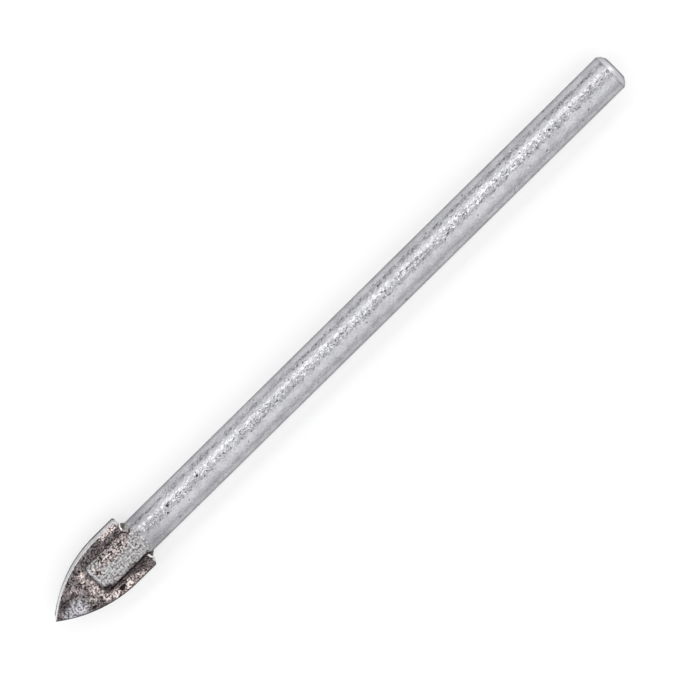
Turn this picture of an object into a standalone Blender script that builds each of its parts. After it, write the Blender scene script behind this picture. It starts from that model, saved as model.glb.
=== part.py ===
"""Spear-point drill bit for glass and tile, lying as it comes to rest.

A steel rod is slotted across its front end, and a carbide plate ground to a pointed arch is brazed into the
slot. The bit's axis is the X axis. The middle of the shank's flat end is the origin, the point lies towards
-X, and +Z is up, square to the plate's faces. All lengths are in metres and all angles in degrees.
"""

import math

import bmesh
import bpy

COLLECTION = "glass_tile_drill_bit"
CUTTERS = "cutters"

# The whole bit
OVERALL_LENGTH = 0.074

# The rod: a straight shank, with both ends broken on the lathe
SHANK_DIAMETER = 0.0038
END_CHAMFER_LENGTH = 0.0006
END_CHAMFER_DEPTH = 0.0007
FRONT_ROUND = 0.00025

# The flats ground on the two prongs that the slot leaves, with their front edges broken
FLAT_GRIND = 0.0003
FLAT_BREAK = 0.0003
FLAT_PAST_SLOT = 0.0002
WHEEL_RADIUS = 0.003

# The carbide plate, and how much of it stands out past the prongs
HEAD_DIAMETER = 0.006
PLATE_LENGTH = 0.0109
PLATE_OVERHANG = 0.0058
PLATE_THICKNESS = 0.0013
NOSE_RADIUS = 0.0133
RELIEF_ANGLE = 9.0
PLATE_CORNER = 0.00015

# The braze: its film in the slot, the fillet round each prong, and the webs behind the plate, left and right
BRAZE_CLEARANCE = 0.00012
FILLET_REACH = 0.0004
FILLET_RISE = 0.0004
WEB_REACH = (0.00035, 0.0006)
WEB_LENGTH = (0.0006, 0.0008)
HOLLOWNESS = 0.5

# What two pieces keep between them where they meet
SEAT_GAP = 0.00002

# How finely round forms are drawn
ROD_FACETS = 62
ROUND_STEPS = 5
NOSE_STEPS = 24
FILLET_STEPS = 6
WEB_STEPS = 6
CORE_STEPS = 5
WHEEL_STEPS = 10
SHARP_ANGLE = 30.0
MERGE = 0.000002

# How far a cutter runs past what it cuts, and how deep the braze's thin edges are sunk before they are cut
OVERRUN = 0.001
EDGE_DEPTH = 0.00005

# Places along the axis and heights over it, from the sizes above
ROD_RADIUS = SHANK_DIAMETER / 2
POINT_X = -OVERALL_LENGTH
PLATE_BACK_X = POINT_X + PLATE_LENGTH
SLOT_END_X = PLATE_BACK_X + BRAZE_CLEARANCE
ROD_FRONT_X = POINT_X + PLATE_OVERHANG
FLAT_END_X = SLOT_END_X + FLAT_PAST_SLOT
PLATE_HALF = PLATE_THICKNESS / 2
SLOT_HALF = PLATE_HALF + BRAZE_CLEARANCE
FLAT_HEIGHT = ROD_RADIUS - FLAT_GRIND


def clear_scene():
    for old in list(bpy.data.objects):
        bpy.data.objects.remove(old, do_unlink=True)


def collection(name):
    made = bpy.data.collections.new(name)
    bpy.context.scene.collection.children.link(made)
    return made


def finish(name, colour, roughness, metallic):
    made = bpy.data.materials.new(name)
    made.use_nodes = True
    shader = made.node_tree.nodes["Principled BSDF"]
    shader.inputs["Base Color"].default_value = (*colour, 1.0)
    shader.inputs["Roughness"].default_value = roughness
    shader.inputs["Metallic"].default_value = metallic
    return made


def add_object(name, mesh, group):
    made = bpy.data.objects.new(name, mesh)
    bpy.data.collections[group].objects.link(made)
    return made


def add_cutter(name, mesh):
    made = add_object(name, mesh, CUTTERS)
    made.hide_render = True
    made.display_type = "WIRE"
    return made


def subtract(target, cutter):
    cut = target.modifiers.new(f"less {cutter.name}", "BOOLEAN")
    cut.operation = "DIFFERENCE"
    cut.object = cutter


def keep_faces_flat(target):
    """Shading that follows the large faces, so a flat next to a round still looks flat."""
    shading = target.modifiers.new("shade by area", "WEIGHTED_NORMAL")
    shading.keep_sharp = True


def block(name, low, high):
    """A box between two opposite corners."""
    mesh = bpy.data.meshes.new(name)
    shape = bmesh.new()
    bmesh.ops.create_cube(shape, size=1.0)
    for vert in shape.verts:
        for axis in range(3):
            vert.co[axis] = low[axis] + (vert.co[axis] + 0.5) * (high[axis] - low[axis])
    shape.to_mesh(mesh)
    shape.free()
    return mesh


def loft(name, outlines, heights):
    """A solid through flat outlines that have equally many points, each at its own height."""
    shape = bmesh.new()
    rings = []
    for outline, height in zip(outlines, heights):
        rings.append([shape.verts.new((x, y, height)) for x, y in outline])
    for ring, above in zip(rings, rings[1:]):
        for k in range(len(ring)):
            shape.faces.new((ring[k - 1], ring[k], above[k], above[k - 1]))
    shape.faces.new(rings[0])
    shape.faces.new(rings[-1])
    bmesh.ops.recalc_face_normals(shape, faces=shape.faces)
    mesh = bpy.data.meshes.new(name)
    shape.to_mesh(mesh)
    shape.free()
    mesh.shade_smooth()
    mesh.set_sharp_from_angle(angle=math.radians(SHARP_ANGLE))
    return mesh


def extruded(name, outline, half_depth):
    """A flat outline, filled and given a thickness either side of its own plane."""
    curve = bpy.data.curves.new(name, "CURVE")
    curve.dimensions = "2D"
    curve.fill_mode = "BOTH"
    curve.extrude = half_depth
    line = curve.splines.new("POLY")
    line.points.add(len(outline) - 1)
    for point, (x, y) in zip(line.points, outline):
        point.co = (x, y, 0.0, 1.0)
    line.use_cyclic_u = True
    drawn = add_object(name, curve, CUTTERS)
    graph = bpy.context.evaluated_depsgraph_get()
    mesh = bpy.data.meshes.new_from_object(drawn.evaluated_get(graph))
    bpy.data.objects.remove(drawn)
    shape = bmesh.new()
    shape.from_mesh(mesh)
    bmesh.ops.remove_doubles(shape, verts=shape.verts, dist=MERGE)
    bmesh.ops.recalc_face_normals(shape, faces=shape.faces)
    shape.to_mesh(mesh)
    shape.free()
    return mesh


def arc(centre, radii, start, end, steps):
    """Points on an arc of a circle or an ellipse, from one angle to another in degrees, ends included."""
    turns = [math.radians(start + (end - start) * k / steps) for k in range(steps + 1)]
    return [(centre[0] + radii[0] * math.cos(a), centre[1] + radii[1] * math.sin(a)) for a in turns]


def rod_front(grow):
    """The rounded edge of the rod's front end, as radius and place along the axis, side first."""
    centre = (ROD_RADIUS + grow - FRONT_ROUND, ROD_FRONT_X - grow + FRONT_ROUND)
    return arc(centre, (FRONT_ROUND, FRONT_ROUND), 0, -90, ROUND_STEPS)


def turned_rod(name, grow):
    """The rod as it comes off the lathe: its outline turned round the X axis, with a facet facing down."""
    radius = ROD_RADIUS + grow
    outline = [
        (0.0, grow),
        (radius - END_CHAMFER_DEPTH, grow),
        (radius, grow - END_CHAMFER_LENGTH),
        *rod_front(grow),
        (0.0, ROD_FRONT_X - grow),
    ]
    mesh = bpy.data.meshes.new(name)
    points = [(across, 0.0, along) for across, along in outline]
    mesh.from_pydata(points, [(k, k + 1) for k in range(len(points) - 1)], [])
    rod = add_cutter(name, mesh) if grow else add_object(name, mesh, COLLECTION)
    rod.rotation_euler = (math.pi / 2, 0.0, math.pi / 2)
    turn = rod.modifiers.new("turn", "SCREW")
    turn.steps = ROD_FACETS
    turn.render_steps = ROD_FACETS
    turn.use_merge_vertices = True
    turn.merge_threshold = MERGE
    turn.use_smooth_shade = True
    return rod


def wheel_mesh(name, grow):
    """What grinding takes off above a prong: a flat with a broken front edge and a round run-out."""
    height = FLAT_HEIGHT + grow
    top = height + WHEEL_RADIUS
    flat_start = ROD_FRONT_X + FLAT_BREAK
    front = flat_start - FLAT_BREAK - OVERRUN
    run_out = arc((FLAT_END_X, top), (WHEEL_RADIUS, WHEEL_RADIUS), -90, 0, WHEEL_STEPS)
    outline = [(front, height + front - flat_start), (flat_start, height), *run_out, (front, top)]
    return extruded(name, outline, ROD_RADIUS + OVERRUN)


def slotted_rod(name, grow=0.0):
    """The rod with its slot sawn and its prongs ground. Grown, it is the cutter that seats the braze."""
    rod = turned_rod(name, grow)
    reach = ROD_RADIUS + OVERRUN
    slot_low = (ROD_FRONT_X - OVERRUN, -reach, grow - SLOT_HALF)
    slot_high = (SLOT_END_X - grow, reach, SLOT_HALF - grow)
    subtract(rod, add_cutter(f"{name}_slot", block(f"{name}_slot", slot_low, slot_high)))
    for label, side in (("upper", 1), ("lower", -1)):
        wheel = add_cutter(f"{name}_{label}_wheel", wheel_mesh(f"{name}_{label}_wheel", grow))
        wheel.rotation_euler = (side * math.pi / 2, 0.0, 0.0)
        subtract(rod, wheel)
    return rod


def plate_outline(grow):
    """The plate's upper face, seen from above: a cutting edge on the -Y side, a relieved edge on the +Y side.

    Each edge is an arc that ends parallel to the axis. The relieved arc's radius is less by what the relief
    takes off, so the two meet a little to the -Y side, and there the point is.
    """
    offset = NOSE_RADIUS - HEAD_DIAMETER / 2
    relief = PLATE_THICKNESS * math.tan(math.radians(RELIEF_ANGLE))

    def meeting(more):
        cutting, relieved = NOSE_RADIUS + more, NOSE_RADIUS + more - relief
        sideways = (cutting**2 - relieved**2 + 4 * offset**2) / (4 * offset)
        return cutting, relieved, math.sqrt(cutting**2 - sideways**2)

    centre_x = POINT_X + meeting(0.0)[2]
    back = PLATE_BACK_X + grow
    cutting, relieved, ahead = meeting(grow)
    swing = math.degrees(math.asin(ahead / cutting))
    relieved_swing = math.degrees(math.asin(ahead / relieved))
    low, high = offset - cutting, relieved - offset
    return [
        *arc((centre_x, offset), (cutting, cutting), -90 - swing, -90, NOSE_STEPS),
        (back - PLATE_CORNER, low),
        (back, low + PLATE_CORNER),
        (back, high - PLATE_CORNER),
        (back - PLATE_CORNER, high),
        *arc((centre_x, -offset), (relieved, relieved), 90, 90 + relieved_swing, NOSE_STEPS)[:-1],
    ]


def plate_mesh(name, grow=0.0):
    """The plate, lofted from its upper face to its lower one, which is the same face turned over the axis.

    The sides lean opposite ways, which gives both cutting edges their relief, and the two faces' points are
    joined by the chisel edge.
    """
    upper = plate_outline(grow)
    lower = [(upper[-k][0], -upper[-k][1]) for k in range(len(upper))]
    half = PLATE_HALF + grow
    return loft(name, (lower, upper), (-half, half))


def fillet_law(share, full):
    """How far a hollow fillet still reaches out, at a share of the way along its foot."""
    return (full + EDGE_DEPTH) * (1 - share) * (1 - HOLLOWNESS * share) - EDGE_DEPTH


def braze_outline(height):
    """The braze's outer surface at one height: out from the flanks and front, and in again behind the plate."""
    rod_half = math.sqrt(ROD_RADIUS**2 - height**2)
    reach = fillet_law(max(abs(height) - PLATE_HALF, 0.0) / FILLET_RISE, FILLET_REACH)
    core = max(1 - (height / PLATE_HALF) ** 2, 0.0)

    flank = []
    for k, (radius, along) in enumerate(rod_front(0.0)):
        turn = math.pi / 2 * k / ROUND_STEPS
        across = math.sqrt(radius**2 - height**2)
        flank.append((along - reach * math.sin(turn), across + reach * math.cos(turn)))

    sides = []
    for web_reach, web_length in zip(WEB_REACH, WEB_LENGTH):
        out = reach + (web_reach - FILLET_REACH) * core
        length = web_length * (out + EDGE_DEPTH) / (web_reach + EDGE_DEPTH)
        shares = [1 - k / WEB_STEPS for k in range(WEB_STEPS + 1)]
        web = [(PLATE_BACK_X + length * share, rod_half + fillet_law(share, out)) for share in shares]
        sides.append([*web, *flank])
    left, right = sides
    return [*left, *[(x, -y) for x, y in reversed(right)]]


def braze_filler():
    """The braze in one piece, lofted up through its outlines, then seated on the rod and the plate."""
    rise = [PLATE_HALF + FILLET_RISE * k / FILLET_STEPS for k in range(1, FILLET_STEPS + 1)]
    core = [PLATE_HALF * (2 * k / CORE_STEPS - 1) for k in range(CORE_STEPS + 1)]
    heights = [*[-height for height in reversed(rise)], *core, *rise]
    envelope = loft("braze_filler", [braze_outline(height) for height in heights], heights)
    braze = add_object("braze_filler", envelope, COLLECTION)
    subtract(braze, slotted_rod("rod_seat", SEAT_GAP))
    subtract(braze, add_cutter("plate_seat", plate_mesh("plate_seat", SEAT_GAP)))
    return braze


def main():
    clear_scene()
    collection(COLLECTION)
    collection(CUTTERS)
    shank = slotted_rod("shank")
    tip = add_object("carbide_tip", plate_mesh("carbide_tip"), COLLECTION)
    braze = braze_filler()
    keep_faces_flat(shank)
    keep_faces_flat(braze)
    shank.data.materials.append(finish("plated steel", (0.56, 0.56, 0.58), 0.38, 1.0))
    tip.data.materials.append(finish("tungsten carbide", (0.13, 0.12, 0.12), 0.45, 0.8))
    braze.data.materials.append(finish("copper braze", (0.36, 0.27, 0.25), 0.5, 0.9))


main()
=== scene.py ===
# %% [markdown]
# # A spear-point bit for drilling glass and tile
#
# The bit is 74 mm long and cuts a 6 mm hole. It has three pieces: a steel rod whose front end is slotted and
# ground flat, a carbide plate ground to a pointed arch, and the copper braze that holds the plate there.
# The sizes are settled already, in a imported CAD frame. This lesson dresses that frame. It gives each piece a
# finely divided surface of the same size, with its grain, pits and lumps, and a finish worked out from what
# the real one is made of.

import math

import bmesh
import bpy
import numpy as np
from mathutils import Matrix, Vector, noise


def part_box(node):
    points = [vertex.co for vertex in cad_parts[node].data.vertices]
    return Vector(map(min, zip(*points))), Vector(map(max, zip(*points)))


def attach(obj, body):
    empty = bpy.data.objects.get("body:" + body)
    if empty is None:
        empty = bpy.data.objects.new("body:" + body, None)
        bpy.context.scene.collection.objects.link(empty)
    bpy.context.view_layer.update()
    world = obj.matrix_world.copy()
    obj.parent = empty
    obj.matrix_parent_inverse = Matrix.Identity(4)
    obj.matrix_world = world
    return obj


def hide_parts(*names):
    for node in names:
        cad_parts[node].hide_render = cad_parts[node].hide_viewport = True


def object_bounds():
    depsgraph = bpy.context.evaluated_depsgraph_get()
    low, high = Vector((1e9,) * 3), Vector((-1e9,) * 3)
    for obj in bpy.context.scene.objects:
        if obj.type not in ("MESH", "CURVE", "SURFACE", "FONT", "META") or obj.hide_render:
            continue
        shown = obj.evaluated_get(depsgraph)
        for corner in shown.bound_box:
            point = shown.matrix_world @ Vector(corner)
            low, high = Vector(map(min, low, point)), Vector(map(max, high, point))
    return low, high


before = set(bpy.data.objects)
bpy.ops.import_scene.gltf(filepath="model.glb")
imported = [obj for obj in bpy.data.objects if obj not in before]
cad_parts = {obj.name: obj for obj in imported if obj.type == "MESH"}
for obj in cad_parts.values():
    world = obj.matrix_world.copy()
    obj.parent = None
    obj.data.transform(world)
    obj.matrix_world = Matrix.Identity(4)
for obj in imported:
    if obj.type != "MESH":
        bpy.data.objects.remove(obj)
cad_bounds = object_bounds()
scene = bpy.context.scene
MM = 0.001
rod_low, rod_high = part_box("shank")
tip_low, tip_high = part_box("carbide_tip")
print("bit, mm:", [round((high - low) / MM, 2) for low, high in zip(*cad_bounds)])

# %% [markdown]
# Node trees make the shapes, the finishes and the light here, so one small function adds a node. It takes the
# inputs by place or by name, links what comes from another node, and sets what is a plain value. Three more
# small functions turn a hex colour into a shader's values, add an object, and paint a value on the points.

# %% A node with its settings and links
MATH = "ShaderNodeMath"
NOISE = "ShaderNodeTexNoise"


def node(tree, kind, inputs=(), **settings):
    """Adds a node to a tree. An input that is a node stands for that node's first output."""
    made = tree.nodes.new(kind)
    for name, value in settings.items():
        setattr(made, name, value)
    for place, value in inputs.items() if isinstance(inputs, dict) else enumerate(inputs):
        source = value.outputs[0] if isinstance(value, bpy.types.Node) else value
        if isinstance(source, bpy.types.NodeSocket):
            tree.links.new(source, made.inputs[place])
        else:
            made.inputs[place].default_value = source
    return made


# %% A colour, an object and a painted value
def linear(hex_code):
    """An sRGB hex colour as the linear values that a shader takes."""
    shares = [int(hex_code[k : k + 2], 16) / 255 for k in (1, 3, 5)]
    return (*[s / 12.92 if s <= 0.04045 else ((s + 0.055) / 1.055) ** 2.4 for s in shares], 1.0)


def new_object(name, data):
    """A new object in the scene, at the origin."""
    made = bpy.data.objects.new(name, data)
    scene.collection.objects.link(made)
    return made


def paint(mesh, name, values):
    """Keeps one value for each point of a mesh, for its tree or its material to read."""
    layer = mesh.attributes.new(name, "FLOAT", "POINT")
    layer.data.foreach_set("value", np.asarray(values, dtype=float).ravel())


# %% [markdown]
# ## The camera
#
# The photograph looks down on the bit from close by: its shank end stands nearer to the lens, and so looks a
# little wider than it would from far off. The angles and the distance below were worked out from the bit's
# own outline, with the head's two edges, the slot and both ends laid over the photograph.

# %% The camera at the photograph's angle
AIM = Vector((-35.723, -0.11, 0.0)) * MM
DISTANCE = 230.0 * MM
LEAN_TO_SHANK = math.radians(7.164)
LEAN_TO_LEFT = math.radians(10.0)
AXIS_IN_PICTURE = math.radians(44.56)
SENSOR = 36.0
LENS = 130.385

toward_camera = Vector((
    math.sin(LEAN_TO_SHANK),
    math.cos(LEAN_TO_SHANK) * math.sin(LEAN_TO_LEFT),
    math.cos(LEAN_TO_SHANK) * math.cos(LEAN_TO_LEFT),
))
along_bit = Vector((1.0, 0.0, 0.0)) - toward_camera * toward_camera.x
along_bit.normalize()
across_bit = toward_camera.cross(along_bit)
right = along_bit * math.cos(AXIS_IN_PICTURE) - across_bit * math.sin(AXIS_IN_PICTURE)
up = along_bit * math.sin(AXIS_IN_PICTURE) + across_bit * math.cos(AXIS_IN_PICTURE)

lens = bpy.data.cameras.new("camera")
lens.sensor_width = SENSOR
lens.lens = LENS
lens.clip_start = DISTANCE / 10
camera = new_object("camera", lens)
facing = Matrix((right, up, toward_camera)).transposed().to_4x4()
camera.matrix_world = Matrix.Translation(AIM + toward_camera * DISTANCE) @ facing
scene.camera = camera
scene.view_settings.view_transform = "Standard"
print("camera, mm:", [round(value / MM, 1) for value in camera.location])

# %% [markdown]
# ## Light and floor
#
# A round metal rod shows nothing but what stands around it, drawn out into stripes along its length. The
# photograph's stripes say what stood there: a light tent with white cloth on the right, a dark slit at the
# top, two bright strips to the left of it with a dark gap between them, white cloth again on the left, and a
# last dark gap where that cloth ends above the table. So the world is such a tent, as shades of grey by the
# angle round the bit's axis. A second lamp stands low beyond the shank's end, to the left, and catches the
# faces that look that way. The floor is white paper. To the camera and in reflections a part of it is plain
# white, and the rest is lit, so that it keeps the bit's soft shadow.

# %% The light tent, from the table on the right, over the top, to the table on the left
# Each pair is an angle in degrees, 0 straight up and 90 level on the left, and the shade there.
TENT_SHADES = (
    (-180, 0.7),
    (-92, 0.4),
    (-80, 0.7),
    (-45, 1.15),
    (-12, 1.25),
    (-5, 1.0),
    (-1, 0.05),
    (7, 0.05),
    (10, 2.4),
    (17, 2.4),
    (20, 0.05),
    (30, 0.05),
    (34, 2.6),
    (42, 2.6),
    (47, 1.1),
    (60, 1.15),
    (74, 1.1),
    (82, 0.35),
    (85, 0.02),
    (93, 0.02),
    (180, 0.7),
)
FULL_TURN = 360
tent = bpy.data.worlds.new("light tent")
scene.world = tent
tent.use_nodes = True
tree = tent.node_tree
tree.nodes.clear()
direction = node(tree, "ShaderNodeSeparateXYZ", [node(tree, "ShaderNodeTexCoord").outputs["Generated"]])
angle = node(tree, MATH, [direction.outputs["Y"], direction.outputs["Z"]], operation="ARCTAN2")
shades = node(tree, "ShaderNodeValToRGB", [node(tree, "ShaderNodeMapRange", [angle, -math.pi, math.pi])])
stops = shades.color_ramp.elements
for degrees, shade in TENT_SHADES[1:-1]:
    stops.new(degrees / FULL_TURN + 0.5)
for stop, (degrees, shade) in zip(stops, TENT_SHADES):
    stop.color = (shade, shade, shade, 1.0)
node(tree, "ShaderNodeOutputWorld", [node(tree, "ShaderNodeBackground", [shades, 1.0])])
print("tent shades:", len(stops))

# %% The second lamp, low beyond the shank's end
LAMP_PLACE = (0.45, 0.21, 0.13)
LAMP_SIZE = (0.36, 0.16)
LAMP_SHADE = 1.6

second = bpy.data.lights.new("second lamp", "AREA")
second.shape = "RECTANGLE"
second.size, second.size_y = LAMP_SIZE
second.energy = LAMP_SHADE * math.pi * LAMP_SIZE[0] * LAMP_SIZE[1]
lamp = new_object("second lamp", second)
lamp.location = LAMP_PLACE
lamp.rotation_euler = lamp.location.to_track_quat("Z", "Y").to_euler()
print("second lamp, watts:", round(second.energy, 3))

# %% The white paper floor
FLOOR_HALF = 3.0
PAPER_SHARE_LIT = 0.45

paper_mesh = bpy.data.meshes.new("floor")
sheet = bmesh.new()
bmesh.ops.create_grid(sheet, x_segments=1, y_segments=1, size=FLOOR_HALF)
bmesh.ops.translate(sheet, verts=sheet.verts, vec=(0.0, 0.0, cad_bounds[0][2]))
sheet.to_mesh(paper_mesh)
sheet.free()
floor = new_object("floor", paper_mesh)
paper = bpy.data.materials.new("white paper")
paper.use_nodes = True
tree = paper.node_tree
tree.nodes.clear()
rays = node(tree, "ShaderNodeLightPath")
seen = node(tree, MATH, [rays.outputs["Is Camera Ray"], rays.outputs["Is Glossy Ray"]], operation="ADD")
seen = node(tree, MATH, [seen, rays.outputs["Is Transmission Ray"]], operation="ADD", use_clamp=True)
plain = node(tree, MATH, [seen, 1.0 - PAPER_SHARE_LIT], operation="MULTIPLY")
lit = node(tree, "ShaderNodeBsdfDiffuse", [linear("#fcfcfc")])
white = node(tree, "ShaderNodeEmission", [(1.0, 1.0, 1.0, 1.0), 1.0])
node(tree, "ShaderNodeOutputMaterial", [node(tree, "ShaderNodeMixShader", [plain, lit, white])])
paper_mesh.materials.append(paper)
print("floor height, mm:", round(cad_bounds[0][2] / MM, 3))

# %% [markdown]
# ## The steel rod
#
# The rod is turned from drawn bar, and only two grindings and a saw cut change that: its front end is ground
# flat above and below, and slotted for the plate. It could be a cylinder with its cuts taken out, but then
# the ground faces would be single polygons with no grain of their own. Here Geometry Nodes wrap a grid round
# the axis by a rule: each row takes its place and radius from the rod's half outline, and near the front the
# radius is cut back to the ground flats. Every part of the surface, flat or round, then has points to carry
# its grain and pits.

# %% The rod's half outline, from the middle of its end face to the middle of its front
ROD_RADIUS = rod_high[2]
ROD_FRONT = rod_low[0]
END_CHAMFER_LENGTH = 0.6 * MM
END_CHAMFER_DEPTH = 0.7 * MM
END_RADIUS = ROD_RADIUS - END_CHAMFER_DEPTH
END_CROWN = 0.08 * MM
FRONT_ROUND = 0.25 * MM
HEAD_END = tip_high[0] + 2.0 * MM
FINE_STEP = 0.08 * MM
SHANK_STEP = 0.115 * MM
QUARTER_TURN = np.radians(np.linspace(0, 90, 5))


def run(start, end, step):
    """Evenly spaced points from one point up to another, without the last."""
    start, end = np.array(start), np.array(end)
    count = max(1, round(float(np.linalg.norm(end - start)) / step))
    return [start + (end - start) * k / count for k in range(count)]


front_edge = [
    (
        ROD_FRONT + FRONT_ROUND * (1 - math.sin(turn)),
        ROD_RADIUS - FRONT_ROUND * (1 - math.cos(turn)),
    )
    for turn in QUARTER_TURN
]
crown = (END_CROWN / 2 - END_CHAMFER_LENGTH / 2, ROD_RADIUS - END_CHAMFER_DEPTH / 2 + END_CROWN)
half_outline = [
    *run((0.0, 0.0), (0.0, END_RADIUS), FINE_STEP),
    *run((0.0, END_RADIUS), crown, FINE_STEP),
    *run(crown, (-END_CHAMFER_LENGTH, ROD_RADIUS), FINE_STEP),
    *run((-END_CHAMFER_LENGTH, ROD_RADIUS), (HEAD_END, ROD_RADIUS), SHANK_STEP),
    *run((HEAD_END, ROD_RADIUS), front_edge[0], FINE_STEP),
    *front_edge[:-1],
    *run(front_edge[-1], (ROD_FRONT, 0.0), FINE_STEP),
    (ROD_FRONT, 0.0),
]
outline_mesh = bpy.data.meshes.new("rod outline")
outline_mesh.from_pydata([(x, radius, 0.0) for x, radius in half_outline], [], [])
# The rows inside an end face are cut back as the face's own rim is, so that they keep in step with it.
front_rim = front_edge[-1][1]
rims = [front_rim if x <= ROD_FRONT else max(radius, END_RADIUS) for x, radius in half_outline]
paint(outline_mesh, "rim", rims)
print("rows round the rod:", len(half_outline))

# %% A Geometry Nodes tree with named inputs, and a way to run it once
SOCKET_TYPES = {float: "NodeSocketFloat", int: "NodeSocketInt"}


def shape_tree(name, sizes):
    """An empty tree: a mesh comes in, a mesh goes out, and each size is a named input with its value."""
    tree = bpy.data.node_groups.new(name, "GeometryNodeTree")
    tree.interface.new_socket("Geometry", in_out="INPUT", socket_type="NodeSocketGeometry")
    tree.interface.new_socket("Geometry", in_out="OUTPUT", socket_type="NodeSocketGeometry")
    for label, value in sizes.items():
        socket = tree.interface.new_socket(label, in_out="INPUT", socket_type=SOCKET_TYPES[type(value)])
        socket.default_value = value
    tree.interface.new_socket("Material", in_out="INPUT", socket_type="NodeSocketMaterial")
    return tree, tree.nodes.new("NodeGroupInput").outputs


def settled(piece):
    """The piece with its modifiers worked into a plain mesh, and then removed."""
    graph = bpy.context.evaluated_depsgraph_get()
    mesh = bpy.data.meshes.new_from_object(piece.evaluated_get(graph))
    piece.modifiers.clear()
    piece.data = mesh
    return piece


def run_tree(piece, tree, values):
    """Runs a tree on a piece, with its inputs set by the sockets' own identifiers."""
    modifier = piece.modifiers.new(tree.name, "NODES")
    modifier.node_group = tree
    for item in tree.interface.items_tree:
        if item.name in values and item.in_out == "INPUT":
            modifier[item.identifier] = values[item.name]
    return settled(piece)


# %% The rod's tree: a grid with a row for each point of the outline
ROD_SIZES = {
    "Columns": 120,
    "Flat Height": 1.6 * MM,
    "Flat Start": ROD_FRONT + 0.3 * MM,
    "Flat End": tip_high[0] + 0.32 * MM,
    "Wheel Radius": 3.0 * MM,
    "Weld": 0.002 * MM,
}
ZINC = bpy.data.materials.new("zinc-plated steel")
tree, size = shape_tree("turned and ground rod", ROD_SIZES)
rows = node(tree, "GeometryNodeAttributeDomainSize", [size["Geometry"]])
row_points = node(tree, MATH, [size["Columns"], 1.0], operation="ADD")
grid = node(tree, "GeometryNodeMeshGrid", {"Vertices X": rows, "Vertices Y": row_points})
index = node(tree, "GeometryNodeInputIndex")
row = node(tree, MATH, [node(tree, MATH, [index, row_points], operation="DIVIDE")], operation="FLOOR")
column = node(tree, MATH, [index, row_points], operation="MODULO")
print("inputs of the rod's tree:", list(ROD_SIZES))

# %% The rod's tree: where each point lies along the outline and round the axis
outline = {"Geometry": size["Geometry"], "Index": row}
position = node(tree, "GeometryNodeInputPosition")
outline_point = node(
    tree, "GeometryNodeSampleIndex", {**outline, "Value": position}, data_type="FLOAT_VECTOR"
)
painted = node(tree, "GeometryNodeInputNamedAttribute", ["rim"], data_type="FLOAT")
outline_rim = node(tree, "GeometryNodeSampleIndex", {**outline, "Value": painted})
outline_parts = node(tree, "ShaderNodeSeparateXYZ", [outline_point])
along, radius = outline_parts.outputs["X"], outline_parts.outputs["Y"]
share = node(tree, MATH, [column, size["Columns"]], operation="DIVIDE")
turn = node(tree, MATH, [share, 2 * math.pi], operation="MULTIPLY")
sine = node(tree, MATH, [turn], operation="SINE")
cosine = node(tree, MATH, [turn], operation="COSINE")
print("nodes so far:", len(tree.nodes))

# %% The rod's tree: how high the ground flats are, from the broken front edge to where the wheel runs out
ahead = node(tree, MATH, [size["Flat Start"], along], operation="SUBTRACT")
broken = node(tree, MATH, [ahead, 0.0], operation="MAXIMUM")
behind = node(tree, MATH, [along, size["Flat End"]], operation="SUBTRACT")
behind = node(tree, MATH, [behind, 0.0], operation="MAXIMUM")
behind_squared = node(tree, MATH, [behind, 2.0], operation="POWER")
wheel_squared = node(tree, MATH, [size["Wheel Radius"], 2.0], operation="POWER")
low_squared = node(tree, MATH, [wheel_squared, behind_squared], operation="SUBTRACT")
low_squared = node(tree, MATH, [low_squared, 0.0], operation="MAXIMUM")
wheel_low = node(tree, MATH, [low_squared], operation="SQRT")
run_out = node(tree, MATH, [size["Wheel Radius"], wheel_low], operation="SUBTRACT")
flat = node(tree, MATH, [size["Flat Height"], broken], operation="SUBTRACT")
ground = node(tree, MATH, [flat, run_out], operation="ADD")
print("nodes so far:", len(tree.nodes))

# %% The rod's tree: the grid cut back to the flats, wrapped round, closed and given its material
upright = node(tree, MATH, [sine], operation="ABSOLUTE")
upright = node(tree, MATH, [upright, outline_rim], operation="MULTIPLY")
upright = node(tree, MATH, [upright, size["Weld"]], operation="MAXIMUM")
cut_back = node(tree, MATH, [ground, upright], operation="DIVIDE")
cut_back = node(tree, MATH, [cut_back, 1.0], operation="MINIMUM")
reach = node(tree, MATH, [radius, cut_back], operation="MULTIPLY")
across = node(tree, MATH, [reach, cosine], operation="MULTIPLY")
height = node(tree, MATH, [reach, sine], operation="MULTIPLY")
wrapped = node(tree, "ShaderNodeCombineXYZ", [along, across, height])
placed = node(tree, "GeometryNodeSetPosition", {"Geometry": grid, "Position": wrapped})
closed = node(tree, "GeometryNodeMergeByDistance", {"Geometry": placed, "Distance": size["Weld"]})
real = node(tree, "GeometryNodeRealizeInstances", [closed])
plated = node(tree, "GeometryNodeSetMaterial", {"Geometry": real, "Material": size["Material"]})
node(tree, "NodeGroupOutput", [plated])
rod = run_tree(new_object("steel_rod", outline_mesh), tree, {**ROD_SIZES, "Material": ZINC})
print("rod, faces:", len(rod.data.polygons))

# %% The slot, sawn through the front end
PLATE_HALF = tip_high[2]
BRAZE_CLEARANCE = 0.12 * MM
OVERRUN = 1.0 * MM


def outward(mesh, weld=0.0):
    """Merges what is double, turns every face outwards, and gives the volume and the open edges."""
    shape = bmesh.new()
    shape.from_mesh(mesh)
    if weld:
        bmesh.ops.remove_doubles(shape, verts=shape.verts, dist=weld)
    bmesh.ops.recalc_face_normals(shape, faces=shape.faces)
    volume = shape.calc_volume(signed=True)
    loose = sum(1 for edge in shape.edges if not edge.is_manifold)
    shape.to_mesh(mesh)
    shape.free()
    return volume, loose


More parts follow.
